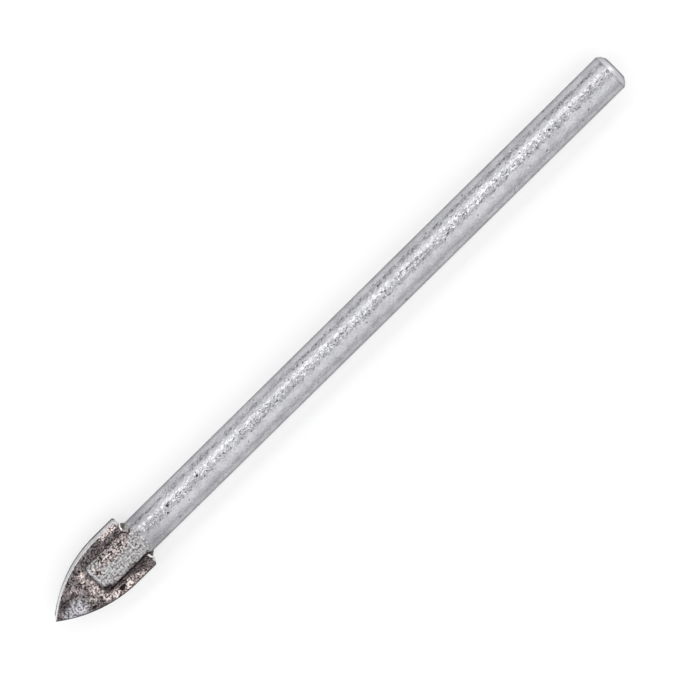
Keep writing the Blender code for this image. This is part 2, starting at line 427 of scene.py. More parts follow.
def less(piece, *tools):
    """The piece less each tool. The tools are used up."""
    for tool in tools:
        cut = piece.modifiers.new("cut", "BOOLEAN")
        cut.solver = "MANIFOLD"
        cut.operation = "DIFFERENCE"
        cut.object = tool
    settled(piece)
    for tool in tools:
        bpy.data.objects.remove(tool)
    return piece


saw_mesh = bpy.data.meshes.new("saw")
blade = bmesh.new()
bmesh.ops.create_cube(blade, size=1.0)
saw_low = Vector((ROD_FRONT - OVERRUN, -ROD_RADIUS - OVERRUN, -PLATE_HALF - BRAZE_CLEARANCE))
saw_high = Vector((tip_high[0] + BRAZE_CLEARANCE, ROD_RADIUS + OVERRUN, PLATE_HALF + BRAZE_CLEARANCE))
for corner in blade.verts:
    corner.co = [low + (c + 0.5) * (high - low) for c, low, high in zip(corner.co, saw_low, saw_high)]
blade.to_mesh(saw_mesh)
blade.free()
print("rod, m3 and open edges:", outward(rod.data))
less(rod, new_object("saw", saw_mesh))
print("slotted rod, m3 and open edges:", outward(rod.data), "faces:", len(rod.data.polygons))

# %% [markdown]
# ## The carbide plate
#
# The plate is pressed from tungsten carbide powder, sintered, and ground along its two curved edges. Each
# edge is relieved: it leans in under the face that leads it, and the two meet in a short chisel edge at the
# point. So each section across the plate is a flat parallelogram. It could be cut from a block by tools, but
# one loft through those sections, closer together than the eye can see, also gives its faces the fine points
# that they need. The face's trailing edge has a narrow land, rubbed off on the stone.

# %% The plate's two edges as widths at each place along the axis
NOSE_RADIUS = 13.3 * MM
RELIEF_ANGLE = math.radians(9.0)
RELIEF = 2 * PLATE_HALF * math.tan(RELIEF_ANGLE)
PLATE_CORNER = 0.15 * MM
POINT_X = tip_low[0]
PLATE_BACK = tip_high[0]
CORNER_X = PLATE_BACK - PLATE_CORNER
HALF_WIDTH = tip_high[1]
# Each edge's arc has its middle this far past the axis. At the point the width between the arcs is nothing.
EDGE_OFFSET = NOSE_RADIUS - HALF_WIDTH
sideways = EDGE_OFFSET + (NOSE_RADIUS**2 - (NOSE_RADIUS - RELIEF) ** 2) / (4 * EDGE_OFFSET)
NOSE_END = POINT_X + math.sqrt(NOSE_RADIUS**2 - sideways**2)


def half_width(x, taken_off):
    """The plate's half width at one place, on the side that has so much taken off."""
    radius = NOSE_RADIUS - taken_off
    ahead = min(x - NOSE_END, 0.0)
    corner = max(x - CORNER_X, 0.0)
    return math.sqrt(radius**2 - ahead**2) - EDGE_OFFSET - corner


print("nose, mm:", round((NOSE_END - POINT_X) / MM, 2), "relief, mm:", round(RELIEF / MM, 3))

# %% The plate's sections, and the loft through them
STATION_STEP = 0.065 * MM
FACE_COLUMNS = 84
LAND_COLUMNS = 2
SIDE_STEPS = 16
BACK_RINGS = 14
LAND_WIDTH = 0.1 * MM
LAND_DROP = 0.04 * MM


def face_line(cutting, relieved):
    """Points across one face, from its cutting edge to its land."""
    land = min(LAND_WIDTH, (cutting + relieved) / 4)
    flat = [(y, PLATE_HALF) for y in np.linspace(-cutting, relieved - land, FACE_COLUMNS - LAND_COLUMNS)]
    drop = LAND_DROP * land / LAND_WIDTH
    return [*flat, (relieved - land / 2, PLATE_HALF - drop / 2), (relieved, PLATE_HALF - drop)]


def section(x):
    """A section's points once round, starting at the upper face's cutting edge."""
    upper = face_line(half_width(x, 0.0), half_width(x, RELIEF))
    lower = [(-y, -z) for y, z in upper]
    sides = []
    for start, end in ((upper[-1], lower[0]), (lower[-1], upper[0])):
        sides.append([tuple(point) for point in run(start, end, math.dist(start, end) / SIDE_STEPS)[1:]])
    return [*upper, *sides[0], *lower, *sides[1]]


def faces_between(rings):
    """The faces between closed rings that have the same number of points."""
    around = len(rings[0])
    corners = ((0, 0), (0, 1), (1, 1), (1, 0))
    return [
        tuple((k + along) * around + (j + onward) % around for along, onward in corners)
        for k in range(len(rings) - 1)
        for j in range(around)
    ]


stations = [*np.arange(POINT_X, CORNER_X, STATION_STEP), CORNER_X, PLATE_BACK]
rings = [[(x, y, z) for y, z in section(x)] for x in stations]
for k in range(1, BACK_RINGS + 1):
    scale = 1 - k / BACK_RINGS
    rings.append([(x, y * scale, z * scale) for x, y, z in rings[len(stations) - 1]])
plate_mesh = bpy.data.meshes.new("carbide plate")
plate_mesh.from_pydata([point for ring in rings for point in ring], [], faces_between(rings))
print("plate, rings and points in each:", len(rings), len(rings[0]))

# %% Where the plate is ground bright, and where dark lines are painted along its edges
POINT_PART = (POINT_X + 2.0 * MM, POINT_X + 3.6 * MM)
SIDE_GROUND = (0.97, 0.7, 0.5)
BACK_GROUND = 1.0
SIDE_DARK_START = 9
SIDE_DARK_STEPS = 2
POINT_LESS_DARK = 0.5
FACE_DARK_LINE_WIDTH = 0.17 * MM
FACE_DARK_LINE_FADE = 0.08 * MM


def turned_y(points):
    """Places across the bit, turned over below, because the head is the same when it is turned over."""
    return points[..., 1] * np.where(points[..., 2] < 0, -1.0, 1.0)


by_ring = np.array(rings)
ring_x = by_ring[:, 0, 0]
column = np.arange(by_ring.shape[1]) % (FACE_COLUMNS + SIDE_STEPS - 1)
side_ground = np.interp(ring_x, (*POINT_PART, PLATE_BACK), SIDE_GROUND)[:, None]
ground = np.where(column >= FACE_COLUMNS, side_ground, column >= FACE_COLUMNS - LAND_COLUMNS)
near_point = np.interp(ring_x, POINT_PART, (1.0, 0.0))[:, None]
# Dark lines painted along the sides next to the lower face, and along each face's cutting edge.
side_dark_line = np.clip((column - FACE_COLUMNS - SIDE_DARK_START) / SIDE_DARK_STEPS, 0.0, 1.0)
from_edge = np.array([half_width(x, 0.0) for x in ring_x])[:, None] + turned_y(by_ring)
face_dark_line = (column < FACE_COLUMNS) * np.clip((FACE_DARK_LINE_WIDTH - from_edge) / FACE_DARK_LINE_FADE, 0.0, 1.0)
dark_edge_line = np.maximum(side_dark_line * (1 - POINT_LESS_DARK * near_point), face_dark_line)
ground[len(stations) :] = BACK_GROUND
dark_edge_line[len(stations) :] = 0.0
paint(plate_mesh, "ground", ground)
paint(plate_mesh, "dark_edge_line", dark_edge_line)
plate = new_object("carbide_plate", plate_mesh)
print("plate, m3 and open edges:", outward(plate_mesh, 0.001 * MM), "faces:", len(plate_mesh.polygons))

# %% [markdown]
# ## The braze
#
# Molten copper alloy is drawn into the slot and stays as a film on both sides of the plate. What is left over
# creeps out: it makes a hollow fillet round each prong, and a small web on each side behind the plate, where
# it closes the step to the shank. A bevel where the pieces meet would be even all along, but a fillet's foot
# never is. So the braze is a loft through outlines at many heights, each pushed in and out a little by smooth
# noise, and the rod and the plate are then cut out of it.

# %% The braze's outline on one side, at one height
FILLET_REACH = 0.4 * MM
FILLET_RISE = 0.4 * MM
WEB_REACH = {1: 0.35 * MM, -1: 0.6 * MM}
WEB_LENGTH = {1: 0.6 * MM, -1: 0.8 * MM}
WEB_POINTS = 9
HOLLOWNESS = 0.5
EDGE_DEPTH = 0.05 * MM


def hollow(share, full):
    """How far a hollow fillet reaches out, at a share of the way along its foot."""
    return (full + EDGE_DEPTH) * (1 - share) * (1 - HOLLOWNESS * share) - EDGE_DEPTH


def braze_side(height, side):
    """The outline on one side, from the web's end forward to the middle of the front."""
    reach = hollow(max(abs(height) - PLATE_HALF, 0.0) / FILLET_RISE, FILLET_REACH)
    core = max(1 - (height / PLATE_HALF) ** 2, 0.0)
    out = reach + (WEB_REACH[side] - FILLET_REACH) * core
    length = WEB_LENGTH[side] * (out + EDGE_DEPTH) / (WEB_REACH[side] + EDGE_DEPTH)
    flank = math.sqrt(ROD_RADIUS**2 - height**2)
    web = [(PLATE_BACK + length * s, flank + hollow(s, out)) for s in np.linspace(1, 0, WEB_POINTS)]
    nose = []
    for turn, (x, radius) in zip(QUARTER_TURN, front_edge):
        across = math.sqrt(radius**2 - height**2)
        nose.append((x - reach * math.sin(turn), across + reach * math.cos(turn)))
    return [(x, side * y) for x, y in [*web, *nose]]


print("fillet in the middle, mm:", round(hollow(0.0, FILLET_REACH) / MM, 2))

# %% The braze's outline once round, pushed in and out where it crept
BRAZE_POINTS = 300
CREEP = 0.11 * MM
CREEP_SIZE = 0.55 * MM


def braze_ring(height):
    """One closed outline with evenly spaced points. All of one face's outlines are pushed alike."""
    corners = np.array([*braze_side(height, 1), *reversed(braze_side(height, -1))])
    corners = np.vstack([corners, corners[:1]])
    distance = np.concatenate([[0.0], np.cumsum(np.linalg.norm(np.diff(corners, axis=0), axis=1))])
    places = np.linspace(0.0, distance[-1], BRAZE_POINTS, endpoint=False)
    ring = np.stack([np.interp(places, distance, corners[:, axis]) for axis in range(2)], axis=-1)
    ahead = np.roll(ring, -1, axis=0) - np.roll(ring, 1, axis=0)
    sideways = np.stack([-ahead[:, 1], ahead[:, 0]], axis=-1)
    sideways /= np.linalg.norm(sideways, axis=1)[:, None]
    wet = 1 - min(max(abs(height) - PLATE_HALF, 0.0) / FILLET_RISE, 1.0)
    for k, (x, y) in enumerate(ring):
        push = noise.noise(Vector((x, y, math.copysign(2 * CREEP_SIZE, height))) / CREEP_SIZE)
        ring[k] -= sideways[k] * CREEP * wet * push
    return [(x, y, height) for x, y in ring]


# %% The braze, lofted and cut
CORE_RINGS = 20
RISE_RINGS = 8

core_heights = np.linspace(-PLATE_HALF, PLATE_HALF, CORE_RINGS)
rise_heights = PLATE_HALF + FILLET_RISE * np.linspace(0, 1, RISE_RINGS + 1)[1:]
rings = [braze_ring(float(h)) for h in (*-rise_heights[::-1], *core_heights, *rise_heights)]
last = len(rings) * BRAZE_POINTS
ends = [tuple(range(BRAZE_POINTS)), tuple(range(last - BRAZE_POINTS, last))]
braze_mesh = bpy.data.meshes.new("braze")
braze_mesh.from_pydata([point for ring in rings for point in ring], [], [*faces_between(rings), *ends])
braze = new_object("braze", braze_mesh)
print("braze, m3 and open edges:", outward(braze_mesh))
seats = []
for name in ("shank", "carbide_tip"):
    seat = new_object(f"{name}_seat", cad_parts[name].data.copy())
    print(name, "m3 and open edges:", outward(seat.data, 0.001 * MM))
    seats.append(seat)
less(braze, *seats)
print("seated braze, m3 and open edges:", outward(braze.data), "faces:", len(braze.data.polygons))

# %% Points where the cuts left long edges
# The cuts join flat faces into long thin triangles, over which a painted value would be drawn out in streaks.
LONGEST_EDGE = 0.2 * MM
HALVINGS = 5
shape = bmesh.new()
shape.from_mesh(braze.data)
bmesh.ops.triangulate(shape, faces=shape.faces)
for _ in range(HALVINGS):
    long_edges = [edge for edge in shape.edges if edge.calc_length() > LONGEST_EDGE]
    bmesh.ops.subdivide_edges(shape, edges=long_edges, cuts=1)
    bmesh.ops.triangulate(shape, faces=[face for face in shape.faces if len(face.verts) > 3])
shape.to_mesh(braze.data)
shape.free()
print("braze, faces:", len(braze.data.polygons))

# %% [markdown]
# ## Wear
#
# Plating over drawn bar is never mirror smooth, sintered carbide is lumpy, and the rod has small pits. Images
# could carry all this, but values painted on the points follow the pieces' own sizes, and the same values can
# press the surface in and colour it. So places are painted first: pits and scratches on the rod, and on the
# head what the brazing torch left, copper smears, soot and pits. Painted shade, painted highlights and
# painted glints are laid on the same way. One tree then presses the wear in.

# %% Reading a piece's points, and easing a value in
def points_of(piece):
    """The piece's points as rows of x, y and z."""
    flat = np.empty(3 * len(piece.data.vertices))
    piece.data.vertices.foreach_get("co", flat)
    return flat.reshape(-1, 3)


def ease(values, start, end):
    """0 at one value and 1 at another, eased at both."""
    share = np.clip((values - start) / (end - start), 0.0, 1.0)
    return share * share * (3 - 2 * share)


rod_points, plate_points, braze_points = (points_of(piece) for piece in (rod, plate, braze))
print("points:", len(rod_points), len(plate_points), len(braze_points))

# %% Pits, scratches, and white flecks as painted glints on the rod, where they show in the photograph
# A pit or a painted glint is its place along the axis in mm, its turn from the top in degrees, and its radius
# in mm.
SEEN_PITS = (
    (-58.1, 15.3, 0.15),
    (-58.53, -0.4, 0.10),
    (-54.08, 17.3, 0.16),
    (-50.77, 8.6, 0.10),
    (-32.59, -11.8, 0.09),
    (-29.06, -11.3, 0.08),
    (-8.21, 15.0, 0.13),
    (-1.7, 12.2, 0.1),
    (-0.9, 5.0, 0.06),
)
GLINT_FLECKS = ((-12.15, 51.5, 0.09), (-33.4, 44.0, 0.06), (-57.0, 28.0, 0.06))
# A scratch runs from one place and turn to another.
SCRATCHES = (
    ((-36.6, 19.7), (-35.94, 18.3)),
    ((-35.29, 16.8), (-34.72, 15.4)),
    ((-27.19, 20.6), (-23.95, 14.2)),
    ((-44.9, 6.0), (-43.6, 9.5)),
)
print("seen pits, flecks and scratches:", len(SEEN_PITS), len(GLINT_FLECKS), len(SCRATCHES))

# %% The rod's pits, scratches and painted glints as values on its points
SCRATCH_SHARE = 0.45
SCRATCH_WIDTH = 0.09 * MM
SMALL_PITS = 150
SMALL_PIT_RADIUS = (0.04, 0.05, 0.1)
SPOT_SPREAD = 1.6
PIT_SOFTNESS = 0.2
GLINT_FLECK_SOFTNESS = 0.4


def on_rod(x, turn):
    """A place on the rod, by its distance along the axis and its turn from the top."""
    return np.array([x, ROD_RADIUS * math.sin(turn), ROD_RADIUS * math.cos(turn)])


def to_metres(places):
    """The same places in metres and radians."""
    return [(x * MM, math.radians(turn), radius * MM) for x, turn, radius in places]


def round_spots(places, softness):
    """How near the rod's points are to the nearest of the places."""
    nearest = np.zeros(len(rod_points))
    for x, turn, radius in places:
        distance = np.linalg.norm(rod_points - on_rod(x, turn), axis=1)
        share = 1 - ease(distance, softness * radius, (SPOT_SPREAD - softness) * radius)
        nearest = np.maximum(nearest, share)
    return nearest


random = np.random.default_rng(6)
pits = to_metres(SEEN_PITS)
for _ in range(SMALL_PITS):
    pits.append((
        random.uniform(HEAD_END, -END_CHAMFER_LENGTH),
        random.uniform(-math.pi, math.pi),
        random.triangular(*SMALL_PIT_RADIUS) * MM,
    ))
rod_pits = round_spots(pits, PIT_SOFTNESS)
for start, end in SCRATCHES:
    start, end = (on_rod(x * MM, math.radians(turn)) for x, turn in (start, end))
    share = np.clip((rod_points - start) @ (end - start) / ((end - start) @ (end - start)), 0.0, 1.0)
    distance = np.linalg.norm(rod_points - start - share[:, None] * (end - start), axis=1)
    rod_pits = np.maximum(rod_pits, SCRATCH_SHARE * (1 - ease(distance, 0.0, SCRATCH_WIDTH)))
paint(rod.data, "glint_fleck", round_spots(to_metres(GLINT_FLECKS), GLINT_FLECK_SOFTNESS))
print("pits:", len(pits), "points in pits:", int((rod_pits > 0.1).sum()))

# %% Where braze smeared over the head, where soot and painted shade lie, and where it is pitted
# Each is a place along and a place across in mm, a radius in mm, and how strong it is.
SMEARS = (
    (-69.3, 0.6, 0.4, 0.7),
    (-69.1, 0.0, 0.4, 0.6),
    (-69.2, -0.6, 0.4, 0.75),
    (-68.9, -1.2, 0.4, 0.7),
    (-69.0, 1.3, 0.4, 0.7),
    (-68.7, -1.9, 0.4, 0.85),
    (-70.0, -1.3, 0.4, 0.5),
    (-70.4, 0.2, 0.6, 0.35),
    (-70.6, 1.0, 0.5, 0.3),
    (-67.9, -2.2, 0.45, 0.9),
    (-67.0, -2.6, 0.6, 0.95),
    (-66.0, -2.45, 0.5, 0.9),
    (-65.0, -2.65, 0.5, 0.8),
    (-64.2, -2.9, 0.4, 0.5),
    (-64.9, 2.55, 0.4, 0.7),
    (-64.0, 2.6, 0.5, 0.95),
    (-63.4, 2.6, 0.4, 0.9),
    (-67.4, 0.8, 0.6, 0.5),
    (-65.8, 1.0, 0.7, 0.7),
    (-64.2, 1.0, 0.7, 0.8),
    (-63.2, 1.2, 0.6, 0.6),
    (-66.5, -1.1, 0.5, 0.35),
)
# Soot spots, which are also painted shade beside and below the prongs.
SOOT_AND_SHADE = (
    (-68.0, -1.35, 0.5, 1.0),
    (-67.4, -1.6, 0.4, 0.9),
    (-64.4, -2.0, 0.9, 0.6),
    (-66.6, 2.0, 0.8, 0.3),
    (-66.3, -1.75, 0.35, 0.5),
    (-65.2, -1.75, 0.35, 0.5),
    (-72.3, 0.4, 0.6, 0.8),
    (-70.2, -2.0, 0.6, 0.5),
)
HEAD_PITS = (
    (-67.15, -2.3, 0.2, 1.0),
    (-66.85, -2.24, 0.14, 1.0),
    (-67.45, 0.55, 0.1, 1.0),
    (-66.6, 1.3, 0.08, 1.0),
    (-66.3, 1.35, 0.08, 1.0),
    (-65.1, 1.1, 0.09, 1.0),
    (-65.3, 1.25, 0.08, 1.0),
    (-63.85, 1.14, 0.1, 1.0),
    (-64.15, 1.16, 0.1, 1.0),
    (-71.9, 1.15, 0.09, 1.0),
    (-70.4, -1.75, 0.12, 1.0),
    (-68.9, 1.7, 0.1, 1.0),
)
PALE_PATCH = ((-71.85, -0.8, 0.85, 1.0),)
print("smears, sooty spots and pits:", len(SMEARS), len(SOOT_AND_SHADE), len(HEAD_PITS))

# %% How near a point is to the nearest of such places
STRETCH = 1.4
SOFT = 0.2
FIRM = 0.5


def spots(places, points, softness):
    """How near each point is to the nearest of the places: 1 at its middle, 0 outside it.

    The spots are drawn out along the bit. The places on the upper side serve for the lower side too.
    """
    nearest = np.zeros(len(points))
    for x, y, radius, strength in places:
        distance = np.hypot((points[:, 0] - x * MM) / STRETCH, turned_y(points) - y * MM)
        share = 1 - ease(distance, softness * radius * MM, (2 - softness) * radius * MM)
        nearest = np.maximum(nearest, share * strength)
    return nearest


print("points of the plate in a smear:", int((spots(SMEARS, plate_points, SOFT) > 0.5).sum()))

# %% The rod's own wear, a burnt head and a bright machined end, with painted shade and a painted highlight
# Each pair is where a value starts to ease in or out and where it ends.
HEAD_FADE = (PLATE_BACK + 0.6 * MM, PLATE_BACK + 2.2 * MM)
HEAD_BOW = 0.3
DULL_FADE = (PLATE_BACK + 1.0 * MM, PLATE_BACK + 5.0 * MM)
FLANK_RISE = (1.25 * MM, 1.5 * MM)
FLANK_FADE = (PLATE_BACK, PLATE_BACK + 0.9 * MM)
FLANK_SHADE_BY_SIDE = (0.8, 0.3)
MACHINED_RISE = (-END_CHAMFER_LENGTH * 1.2, -END_CHAMFER_LENGTH * 0.9)
SHANK_WEAR = 0.3
MACHINED_AWAY = 0.8
RUBBED_HIGHLIGHT_FADE = (ROD_FRONT + 0.22 * MM, ROD_FRONT + 0.34 * MM)
RUBBED_HIGHLIGHT_ACROSS = (-0.7 * MM, 0.1 * MM)
RUBBED_HIGHLIGHT_HEIGHT = (1.2 * MM, 1.3 * MM)

rod_x, rod_y, rod_z = rod_points.T
head = 1 - ease(rod_x + HEAD_BOW * np.abs(rod_y), *HEAD_FADE)
machined = ease(rod_x, *MACHINED_RISE)
# Painted shade on the lower flanks of the prongs, darker on the right side, away from the light.
flank_painted_shade = ease(np.abs(rod_y), *FLANK_RISE) * (1 - ease(rod_x, *FLANK_FADE))
flank_painted_shade *= np.where(turned_y(rod_points) < 0, *FLANK_SHADE_BY_SIDE)
# The front edge rubbed bright, with a painted highlight on it on the upper left side, which faces the light.
rubbed_and_highlight = (1 - ease(rod_x, *RUBBED_HIGHLIGHT_FADE)) * ease(turned_y(rod_points), *RUBBED_HIGHLIGHT_ACROSS)
paint(rod.data, "head", head)
paint(rod.data, "dulled", 1 - ease(rod_x, *DULL_FADE))
paint(rod.data, "machined", machined)
paint(rod.data, "rubbed_and_highlight", rubbed_and_highlight * ease(np.abs(rod_z), *RUBBED_HIGHLIGHT_HEIGHT))
paint(rod.data, "wear", (SHANK_WEAR + (1 - SHANK_WEAR) * head) * (1 - MACHINED_AWAY * machined))
print("points on the burnt head:", int((head > 0.5).sum()))

# %% Lines of painted shade and painted dark reflection along the two edges of the rod's end chamfer
INNER_EDGE_SHADE = 0.55
INNER_PLACE = END_CHAMFER_LENGTH + 0.06 * MM
INNER_FADE = (0.02 * MM, 0.1 * MM)
OUTER_FADE = (0.06 * MM, 0.3 * MM)
END_FACE_SHARE = 0.3
END_FACE_DEPTH = 0.01 * MM

from_outer = np.hypot(rod_x, np.hypot(rod_y, rod_z) - END_RADIUS)
# Painted dark reflection at the outer edge, and painted shade at the inner one.
outer_edge_shade = (1 - ease(from_outer, *OUTER_FADE)) * np.where(rod_x > -END_FACE_DEPTH, END_FACE_SHARE, 1.0)
inner_edge_shade = INNER_EDGE_SHADE * (1 - ease(np.abs(rod_x + INNER_PLACE), *INNER_FADE))
paint(rod.data, "edge", np.maximum(inner_edge_shade, outer_edge_shade))
print("points on the end's edges:", int((outer_edge_shade > 0.5).sum()))

# %% The braze's own wear: dark corners and webs of painted shade, and a rim rubbed and painted bright
CORNER_SHADE_RISE = (PLATE_HALF + 0.06 * MM, PLATE_HALF + 0.26 * MM)
LESS_SHADE_ACROSS = (0.0, 0.5 * MM)
LESS_SHADE_FADE = (-67.6 * MM, -66.8 * MM)
LESS_SHADE = 0.8
RIM_RISE = (PLATE_BACK - 0.01 * MM, PLATE_BACK + 0.03 * MM)
RIM_FADE = (PLATE_BACK + 0.12 * MM, PLATE_BACK + 0.2 * MM)
WEB_RISE = (PLATE_BACK + 0.16 * MM, PLATE_BACK + 0.3 * MM)

braze_x = braze_points[:, 0]
# Painted shade in the corner against the prongs, high up on the fillets, with less of it on the left towards
# the front.
less_shade_part = ease(turned_y(braze_points), *LESS_SHADE_ACROSS) * (1 - ease(braze_x, *LESS_SHADE_FADE))
high_up = ease(np.abs(braze_points[:, 2]), *CORNER_SHADE_RISE)
paint(braze.data, "corner", high_up * (1 - LESS_SHADE * less_shade_part))
# The webs' rim next to the plate's back, painted white: rubbed clean, and a painted highlight.
paint(braze.data, "rubbed_and_highlight", ease(braze_x, *RIM_RISE) * (1 - ease(braze_x, *RIM_FADE)))
# Soot and painted shade on the webs behind the plate.
web_soot_and_shade = ease(braze_x, *WEB_RISE)
print("points on the webs:", int((web_soot_and_shade > 0.5).sum()))

# %% What the three pieces share: smears, soot with painted shade, and pits, that run on from one to the next
for piece, here, own_pits, own_soot_and_shade in (
    (rod, rod_points, rod_pits, flank_painted_shade),
    (plate, plate_points, 0.0, 0.0),
    (braze, braze_points, 0.0, web_soot_and_shade),
):
    paint(piece.data, "smear", spots(SMEARS, here, SOFT))
    paint(piece.data, "soot_and_shade", np.maximum(own_soot_and_shade, spots(SOOT_AND_SHADE, here, SOFT)))
    paint(piece.data, "pit", np.maximum(own_pits, spots(HEAD_PITS, here, FIRM)))
    painted = [layer.name for layer in piece.data.attributes if layer.data_type == "FLOAT"]
    print(piece.name, "painted:", painted)
paint(plate.data, "wear", np.ones(len(plate_points)))
paint(plate.data, "pale", spots(PALE_PATCH, plate_points, SOFT))
paint(braze.data, "wear", np.ones(len(braze_points)))

# %% [markdown]
# Grain and lumps could be modifiers with a texture each. One tree does it all, and it moves each point only
# inwards, so nothing grows past its real size. How far it moves comes from the tree's sizes and from two of
# the painted values: wear and pit.

# %% The tree that presses wear into a surface
WEAR_SIZES = {
    "Grain Size": 0.2 * MM,
    "Grain Depth": 0.006 * MM,
    "Lump Size": 0.6 * MM,
    "Lump Depth": 0.02 * MM,
    "Pit Depth": 0.06 * MM,
}
tree, size = shape_tree("worn surface", WEAR_SIZES)
position = node(tree, "GeometryNodeInputPosition")
depths = []
for label in ("Grain", "Lump"):
    scale = node(tree, MATH, [1.0, size[f"{label} Size"]], operation="DIVIDE")
    bumps = node(tree, NOISE, {"Vector": position, "Scale": scale, "Detail": 2.0})
    depths.append(node(tree, MATH, [bumps.outputs["Fac"], size[f"{label} Depth"]], operation="MULTIPLY"))
grain_depth, lump_depth = depths
worn = node(tree, "GeometryNodeInputNamedAttribute", ["wear"], data_type="FLOAT")
lump_depth = node(tree, MATH, [lump_depth, worn], operation="MULTIPLY")
pitted = node(tree, "GeometryNodeInputNamedAttribute", ["pit"], data_type="FLOAT")
pit_depth = node(tree, MATH, [pitted, size["Pit Depth"]], operation="MULTIPLY")
depth = node(tree, MATH, [grain_depth, lump_depth], operation="ADD")
depth = node(tree, MATH, [depth, pit_depth], operation="ADD")
back = node(tree, MATH, [depth, -1.0], operation="MULTIPLY")
normal = node(tree, "GeometryNodeInputNormal")
inward = node(tree, "ShaderNodeVectorMath", {0: normal, "Scale": back}, operation="SCALE")
moved = node(tree, "GeometryNodeSetPosition", {"Geometry": size["Geometry"], "Offset": inward})
real = node(tree, "GeometryNodeRealizeInstances", [moved])
finished = node(tree, "GeometryNodeSetMaterial", {"Geometry": real, "Material": size["Material"]})
node(tree, "NodeGroupOutput", [finished])
print("inputs of the wear tree:", list(WEAR_SIZES))

# %% Wear on the three pieces
SHARP_ANGLE = math.radians(35.0)
CARBIDE = bpy.data.materials.new("sintered tungsten carbide")
COPPER = bpy.data.materials.new("copper braze")
CARBIDE_WEAR = {
    "Grain Size": 0.16 * MM,
    "Grain Depth": 0.012 * MM,
    "Lump Size": 0.7 * MM,
    "Lump Depth": 0.05 * MM,
}
COPPER_WEAR = {
    "Grain Size": 0.14 * MM,
    "Grain Depth": 0.02 * MM,
    "Lump Size": 0.4 * MM,
    "Lump Depth": 0.05 * MM,
}
for piece, material, own in ((rod, ZINC, {}), (plate, CARBIDE, CARBIDE_WEAR), (braze, COPPER, COPPER_WEAR)):
    run_tree(piece, tree, {**WEAR_SIZES, **own, "Material": material})
    piece.data.shade_smooth()
    piece.data.set_sharp_from_angle(angle=SHARP_ANGLE)
    print(piece.name, "triangles:", sum(len(face.vertices) - 2 for face in piece.data.polygons))

# %% [markdown]
# ## The finishes
#
# All three are metals seen close up, and all three are speckled: a spot that is clean next to one that is
# dark. Each could be one flat colour with a roughness, but the eye knows brazed metal by its speckle. So two
# small functions are shared. One mixes a dark and a light colour by fine noise. The other takes a value that
# was painted on the points, such as where the braze smeared, and frays its edge with coarser noise.

# %% What the three finishes share
FRAY = 0.45 * MM
FRAY_DETAIL = 3.0
SPECKLE_CUT = (0.38, 0.62)


def finish_shader(material, metallic):
    """The material's tree, its shader, and the piece's own coordinates."""
    material.use_nodes = True
    tree = material.node_tree
    shader = tree.nodes["Principled BSDF"]
    shader.inputs["Metallic"].default_value = metallic
    return tree, shader, node(tree, "ShaderNodeTexCoord").outputs["Object"]


def blend(tree, share, first, second):
    """One colour mixed into another. A colour is a hex code or comes from another node."""
    first, second = (linear(colour) if isinstance(colour, str) else colour for colour in (first, second))
    return node(tree, "ShaderNodeMix", {0: share, 6: first, 7: second}, data_type="RGBA").outputs[2]


def speckle(tree, grains, dark, light, cut=SPECKLE_CUT):
    """A dark and a light colour, mixed spot by spot."""
    return blend(tree, node(tree, "ShaderNodeMapRange", [grains, *cut]), dark, light)


def frayed(tree, place, name, low, high):
    """A painted value with a frayed edge: 0 below the low value and 1 above the high one."""
    painted = node(tree, "ShaderNodeAttribute", attribute_name=name).outputs["Fac"]
    ragged = node(tree, NOISE, {"Vector": place, "Scale": 1 / FRAY, "Detail": FRAY_DETAIL})
    ragged = node(tree, MATH, [ragged, -0.5], operation="ADD")
    ragged = node(tree, MATH, [painted, ragged], operation="ADD")
    return node(tree, "ShaderNodeMapRange", [ragged, low, high])


def pressed(tree, shader, layers):
    """Bumps on the surface, each layer given as its height and its depth."""
    normal = None
    for height, depth in layers:
        inputs = {"Strength": 1.0, "Distance": depth, "Height": height}
        if normal:
            inputs["Normal"] = normal
        normal = node(tree, "ShaderNodeBump", inputs)
    tree.links.new(normal.outputs[0], shader.inputs["Normal"])


# %% [markdown]
# ### Zinc-plated steel
#
# The shank is mild steel under a thin dull zinc plating. Zinc plates as fine grains, so the surface is a
# mirror that scatters a little, with small dents pressed in and painted darker, as painted shade in them. At
# a glancing angle the grains stand in one another's way, so it is made to mirror less there, and the rod's
# rims are darker.
# The flame of the brazing torch and its flux have eaten the plating on the prongs: there it is a salt and
# pepper of bare and clean spots. The real grain is some 0.05 mm and finer, and is drawn 4 to 5 times as
# coarse, so that it shows.

# %% The shank's finish: its plating, and where it was turned bright or went dull
ZINC_GRAIN = 0.24 * MM
DENT = 0.2 * MM
FACET = 0.26 * MM
EATEN = 0.2 * MM
BLOOM = 1.1 * MM
DENT_CUT = (0.56, 0.7)
DENT_SHADE = 0.35
DULL_SHADE = 0.5

tree, shader, place = finish_shader(ZINC, 1.0)
# A noise's scale is one over the real size of its bumps.
grain = node(tree, NOISE, {"Vector": place, "Scale": 1 / ZINC_GRAIN, "Detail": 0.0})
dents = node(tree, NOISE, {"Vector": place, "Scale": 1 / DENT, "Detail": 2.0})
dents = node(tree, "ShaderNodeMapRange", [dents, *DENT_CUT, 1.0, 0.0])
bloom = node(tree, NOISE, {"Vector": place, "Scale": 1 / BLOOM, "Detail": 3.0})
bloom = node(tree, "ShaderNodeMapRange", [bloom, 0.35, 0.65])
colour = blend(tree, bloom, "#b6b6bb", "#c8c8cc")
